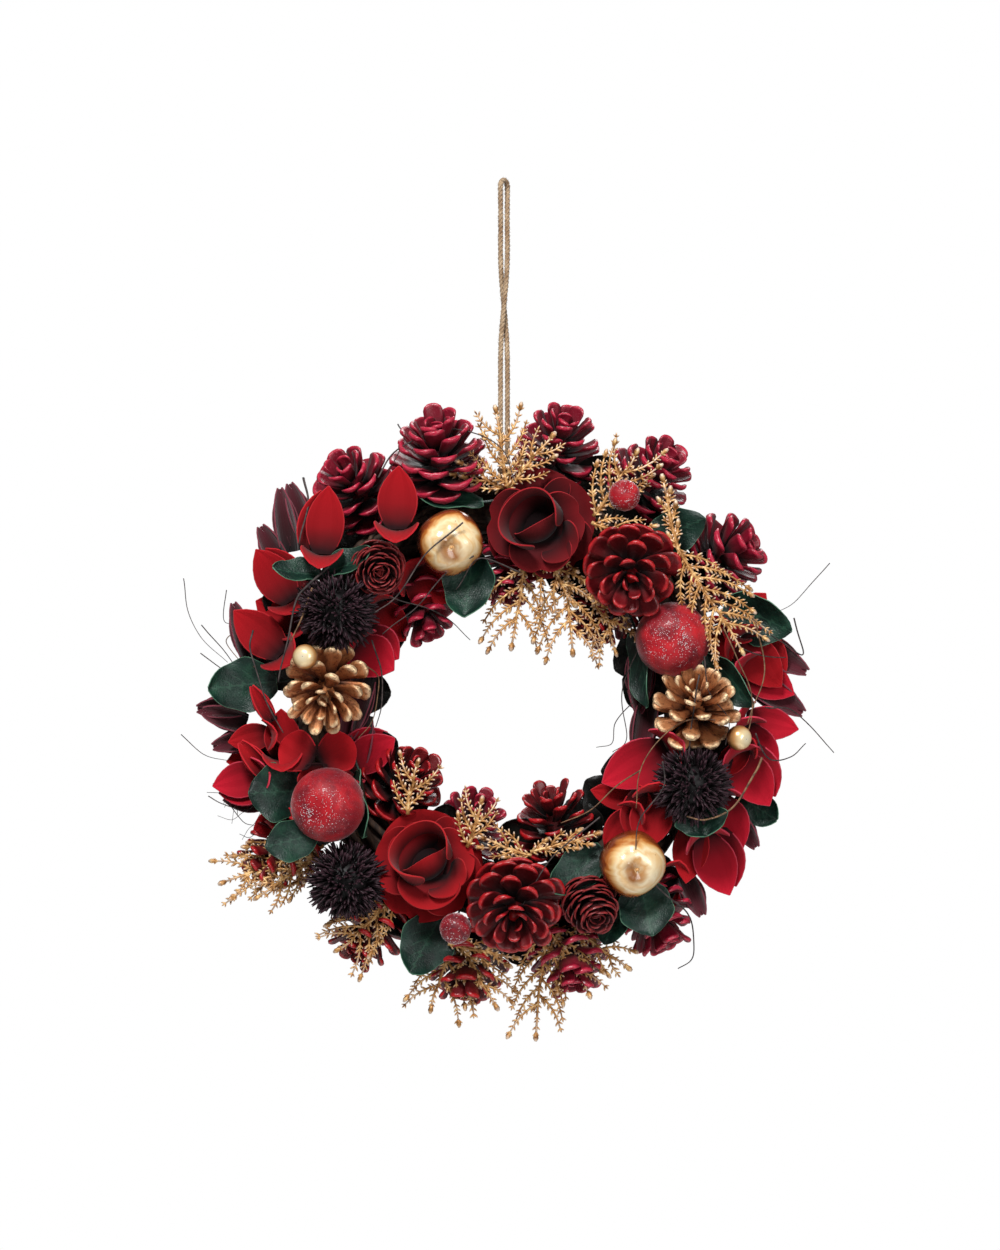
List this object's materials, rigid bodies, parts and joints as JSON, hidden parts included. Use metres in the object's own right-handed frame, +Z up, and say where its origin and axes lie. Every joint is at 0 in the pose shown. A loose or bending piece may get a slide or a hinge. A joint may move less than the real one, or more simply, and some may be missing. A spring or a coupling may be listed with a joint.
{
  "type": "door wreath",
  "caption": "Christmas door wreath: a vine ring dressed with painted pine cones, petal flowers, roses, apples, berries, leaves and gold sprigs, on a jute hanging loop.",
  "frame": {"origin": "inside the top bend of the twine loop, where it bears on a hook", "axes": "+Z up; the wreath's trimmed front faces -Y and its flat back faces +Y, towards the door; +X to the right seen from the front"},
  "size_m": [0.3534, 0.099, 0.4814],
  "materials": {
    "vine": "rough dark woven vine",
    "twine": "hairy twisted jute",
    "red_paint": "pine cone scales with satin crimson paint",
    "dark_red_paint": "thin cone scales with satin dark red paint",
    "gold_paint": "pine cone scales with copper gold paint",
    "gold_gloss": "glossy gold lacquer",
    "gold_sprig": "gold dusted frond, paler tips",
    "red_shaving": "matte dyed wood shaving",
    "red_petal": "matte red husk, darker outside",
    "frosted_red": "red with white sugar crystals",
    "burgundy_bristle": "dry near-black burgundy bristles",
    "green_leaf": "matte dark green, veined"
  },
  "bodies": {
    "hanger": {"twine_loop": "twine"},
    "knot": {"twine_knot": "twine"},
    "wreath": {"vine_ring": "vine", "twine_wrap": "twine", "red_cone_front_1": "red_paint", "red_cone_front_2": "red_paint", "red_cone_outer_1": "red_paint", "red_cone_outer_2": "red_paint", "red_cone_outer_3": "red_paint", "red_cone_outer_4": "red_paint", "red_cone_outer_5": "red_paint", "red_cone_outer_6": "red_paint", "red_cone_outer_7": "red_paint", "red_cone_outer_8": "red_paint", "red_cone_outer_9": "red_paint", "red_cone_outer_10": "red_paint", "red_cone_inner_1": "red_paint", "red_cone_inner_2": "red_paint", "red_cone_inner_3": "red_paint", "red_cone_inner_4": "red_paint", "red_cone_inner_5": "red_paint", "red_cone_inner_6": "red_paint", "gold_cone_left": "gold_paint", "gold_cone_right": "gold_paint", "rosette_cone_upper": "dark_red_paint", "rosette_cone_lower": "dark_red_paint", "red_rose_upper": "red_shaving", "red_rose_lower": "red_shaving", "gold_apple_upper": "gold_gloss", "gold_apple_lower": "gold_gloss", "frosted_apple_left": "frosted_red", "frosted_apple_right": "frosted_red", "frosted_berry_upper": "frosted_red", "frosted_berry_lower": "frosted_red", "gold_berry_left": "gold_gloss", "gold_berry_right": "gold_gloss", "spiky_pod_upper": "burgundy_bristle", "spiky_pod_lower": "burgundy_bristle", "spiky_pod_right": "burgundy_bristle", "petal_flower_1": "red_petal", "petal_flower_2": "red_petal", "petal_flower_3": "red_petal", "petal_flower_4": "red_petal", "petal_flower_5": "red_petal", "petal_flower_6": "red_petal", "petal_flower_7": "red_petal", "petal_flower_8": "red_petal", "petal_flower_9": "red_petal", "petal_flower_10": "red_petal", "petal_flower_11": "red_petal", "petal_flower_12": "red_petal", "leaf_1": "green_leaf", "leaf_2": "green_leaf", "leaf_3": "green_leaf", "leaf_4": "green_leaf", "leaf_5": "green_leaf", "gold_sprig_1": "gold_sprig", "gold_sprig_2": "gold_sprig", "gold_sprig_3": "gold_sprig", "gold_sprig_4": "gold_sprig"}
  },
  "joints": [
    {"name": "turn_on_twine", "type": "hinge", "parent": "hanger", "child": "knot", "pos_m": [0, 0, -0.1679], "axis": [0, 0, 1], "range_deg": [-180, 180], "stiffness_Nm_per_rad": 0.002},
    {"name": "tip_on_twine", "type": "hinge", "parent": "knot", "child": "wreath", "pos_m": [0, 0, -0.1679], "axis": [1, 0, 0], "range_deg": [-25, 25]}
  ]
}
